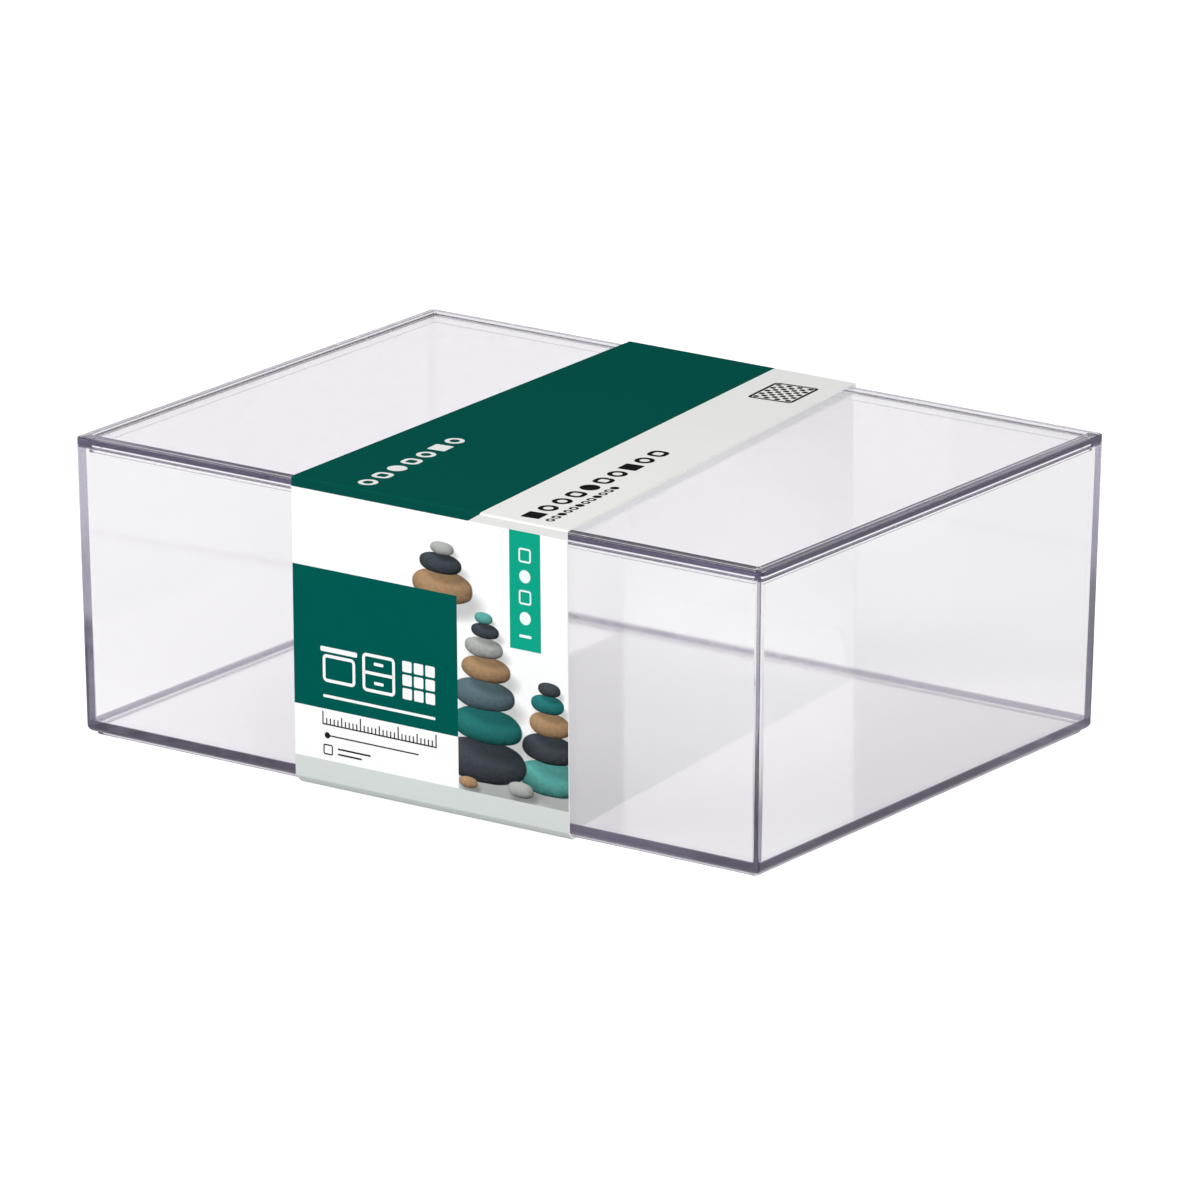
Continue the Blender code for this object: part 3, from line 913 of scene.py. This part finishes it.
def stamp(name, material, shapes, origin, along, up):
    """Makes flat shapes and lays them on the card as one film of ink.

    A shape is its kind, the place of its middle, its width and height, and its line's width.
    """
    pieces = []
    for kind, u, v, width, height, line in shapes:
        bpy.ops.object.select_all(action="DESELECT")
        if kind in ("disc", "ring"):
            bpy.ops.mesh.primitive_circle_add(vertices=DISC_CORNERS, radius=0.5, fill_type="NGON")
        else:
            bpy.ops.mesh.primitive_plane_add(size=1)
        piece = bpy.context.object
        piece.scale = (width, height, 1)
        piece.location = (u, v, 0)
        bpy.ops.object.transform_apply(location=True, rotation=True, scale=True)
        bpy.ops.object.mode_set(mode="EDIT")
        bpy.ops.mesh.select_all(action="SELECT")
        if kind in ("bar", "frame"):
            corner = max(MARK_ROUND, FRAME_ROUND_SHARE * line) if kind == "frame" else MARK_ROUND
            corner = min(corner, width * MOST_ROUND_SHARE, height * MOST_ROUND_SHARE)
            bpy.ops.mesh.bevel(offset=corner, segments=MARK_CORNER_STEPS, affect="VERTICES")
        if kind == "arrow":
            pick(piece, lambda p: p.x > u, "EDGE")
            bpy.ops.mesh.merge(type="CENTER")
        if kind in ("ring", "frame"):
            bpy.ops.mesh.inset(thickness=line)
            bpy.ops.mesh.delete(type="FACE")
        bpy.ops.object.mode_set(mode="OBJECT")
        pieces.append(piece)
    work_on(pieces[0])
    for piece in pieces:
        piece.select_set(True)
    bpy.ops.object.join()
    film = bpy.context.object
    film.name = name
    film.matrix_world = Matrix((along, up, along.cross(up))).transposed().to_4x4()
    film.location = origin
    bpy.ops.object.transform_apply(location=True, rotation=True, scale=True)
    film.data.materials.append(material)
    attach(film, "sleeve")


front_out = Vector((0, -front_up.z, front_up.y))
front_origin = front_base + front_out * (CARD + 2 * INK_FILM) - front_up * (card_base_z / front_up.z)
front_across = Vector((1, 0, 0))


def stamp_front(name, material, shapes):
    """Lays shapes on the front panel, at places across it and up from the floor."""
    stamp(name, material, shapes, front_origin, front_across, front_up)


SIGN_SIZE = 0.0108
SIGN_LINE = 0.0009
SIGN_MIDDLE = 0.0357
CRATE_ACROSS = -0.0242
CRATE_HEIGHT = 0.0078
CRATE_DROP = 0.0012
CRATE_LID_RISE = 0.0041
CRATE_LID = (0.0122, 0.0014)
DRAWERS_ACROSS = -0.0110
DIVIDER_WIDTH = 0.0098
HANDLE_WIDTH = 0.0032
HANDLE_OFF = 0.0027
UNDERLINE_MIDDLE = 0.0266
UNDERLINE = (0.0372, 0.0008)
GRID_ACROSS = 0.0022
GRID_STEP = 0.0038
GRID_SQUARE = 0.0031
block_signs = [
    ("frame", CRATE_ACROSS, SIGN_MIDDLE - CRATE_DROP, SIGN_SIZE, CRATE_HEIGHT, SIGN_LINE),
    ("bar", CRATE_ACROSS, SIGN_MIDDLE + CRATE_LID_RISE, *CRATE_LID, 0),
    ("frame", DRAWERS_ACROSS, SIGN_MIDDLE, SIGN_SIZE, SIGN_SIZE, SIGN_LINE),
    ("bar", DRAWERS_ACROSS, SIGN_MIDDLE, DIVIDER_WIDTH, SIGN_LINE, 0),
    ("bar", DRAWERS_ACROSS, SIGN_MIDDLE + HANDLE_OFF, HANDLE_WIDTH, SIGN_LINE, 0),
    ("bar", DRAWERS_ACROSS, SIGN_MIDDLE - HANDLE_OFF, HANDLE_WIDTH, SIGN_LINE, 0),
    ("bar", DRAWERS_ACROSS, UNDERLINE_MIDDLE, *UNDERLINE, 0),
]
block_signs += [
    ("bar", GRID_ACROSS + GRID_STEP * column, SIGN_MIDDLE + GRID_STEP * row, GRID_SQUARE, GRID_SQUARE, 0)
    for column in (-1, 0, 1)
    for row in (-1, 0, 1)
]
stamp_front("block_signs", ink("white_sign_ink", tone(246, 247, 246)), block_signs)

TAB_SIGN_TOP = 0.0772
TAB_SIGN_STEP = 0.0058
TAB_FRAME = 0.0040
TAB_DISC = 0.0036
TAB_LINE = 0.0005
TAB_BAR_MIDDLE = 0.0548
TAB_BAR = (0.0040, 0.0008)
tab_across = (TAB_LEFT + TAB_RIGHT) / 2
tab_signs = [
    (kind, tab_across, TAB_SIGN_TOP - TAB_SIGN_STEP * row, size, size, TAB_LINE)
    for row, (kind, size) in enumerate([("frame", TAB_FRAME), ("disc", TAB_DISC)] * 2)
]
tab_signs.append(("bar", tab_across, TAB_BAR_MIDDLE, *TAB_BAR, 0))
stamp_front("tab_signs", ink("pale_sign_ink", tone(236, 246, 243)), tab_signs)

SCALE_LEFT = -0.0298
SCALE_STEP = 0.00125
SCALE_STEPS = 30
SCALE_FOOT = 0.0186
TALL_TICK = 0.0036
MIDDLE_TICK = 0.0027
SHORT_TICK = 0.0018
SCALE_LINE = 0.0004
scale_width = SCALE_STEPS * SCALE_STEP
# a shape's kind, its middle, across and up, its width, its height and its line
LABEL_MARKS = [
    ("bar", -0.0131, 0.0155, 0.0300, SCALE_LINE, 0),
    ("arrow", 0.0024, 0.0155, 0.0022, 0.0016, 0),
    ("disc", -0.0284, 0.0155, 0.0018, 0.0018, 0),
    ("frame", -0.0282, 0.0115, 0.0032, 0.0030, SCALE_LINE),
    ("bar", -0.0195, 0.0122, 0.0110, 0.0005, 0),
    ("bar", -0.0210, 0.0107, 0.0080, 0.0005, 0),
]
scale_middle = SCALE_LEFT + scale_width / 2
label_scale = []
for tick in range(SCALE_STEPS + 1):
    tall = TALL_TICK if tick % 10 == 0 else MIDDLE_TICK if tick % 5 == 0 else SHORT_TICK
    label_scale.append(("bar", SCALE_LEFT + tick * SCALE_STEP, SCALE_FOOT + tall / 2, SCALE_LINE, tall, 0))
label_scale.append(("bar", scale_middle, SCALE_FOOT, scale_width + SCALE_LINE, SCALE_LINE, 0))
stamp_front("label_scale", ink("black_sign_ink", tone(34, 36, 36)), label_scale + LABEL_MARKS)

top_origin = Vector((0, 0, card_top_z + CARD + 2 * INK_FILM))
seam_along = seam_run.normalized()
seam_across = Vector((-seam_along.y, seam_along.x, 0))


def top_row(name, material, start, pitch, size, line, kinds):
    """A row of shapes of one size on the top, that runs back from its start along the seam."""
    shapes = [(kind, place * pitch, 0, size, size, line) for place, kind in enumerate(kinds)]
    stamp(name, material, shapes, top_origin + Vector((*start, 0)), seam_along, seam_across)


WHITE_START = (-0.0188, -0.0762)
WHITE_PITCH = 0.0078
WHITE_SHAPE = 0.0055
WHITE_LINE = 0.0013
white_kinds = ("ring", "frame", "disc", "frame", "ring", "bar", "ring")
white_ink = ink("white_row_ink", tone(250, 251, 250))
top_row("white_row", white_ink, WHITE_START, WHITE_PITCH, WHITE_SHAPE, WHITE_LINE, white_kinds)

BLACK_START = (0.0356, -0.0762)
BLACK_PITCH = 0.0076
BLACK_SHAPE = 0.0056
BLACK_LINE = 0.0014
black_kinds = ("bar", "ring", "ring", "frame", "disc", "frame", "ring", "bar", "ring", "frame")
black_ink = ink("black_row_ink", tone(30, 31, 31))
top_row("black_row", black_ink, BLACK_START, BLACK_PITCH, BLACK_SHAPE, BLACK_LINE, black_kinds)

SMALL_START = (0.0418, -0.0776)
SMALL_PITCH = 0.0032
SMALL_SHAPE = 0.0026
SMALL_LINE = 0.0007
small_kinds = ("ring", "frame", "disc") * 4
small_ink = ink("small_row_ink", tone(36, 37, 37))
top_row("small_row", small_ink, SMALL_START, SMALL_PITCH, SMALL_SHAPE, SMALL_LINE, small_kinds)

TILE_MIDDLE = Vector((0.0210, 0.0624, 0))
TILE_STEP = 0.00165
TILE_SQUARE = 0.0016
TILE_FRAME = (0.0172, 0.0138)
TILE_LINE = 0.0009
tile = [
    ("bar", TILE_STEP * column, TILE_STEP * row, TILE_SQUARE, TILE_SQUARE, 0)
    for column in range(-4, 5)
    for row in range(-3, 4)
    if (column + row) % 2
]
tile.append(("frame", 0, 0, *TILE_FRAME, TILE_LINE))
tile_ink = ink("tile_ink", tone(44, 45, 45))
stamp("chequered_tile", tile_ink, tile, top_origin + TILE_MIDDLE, seam_along, seam_across)
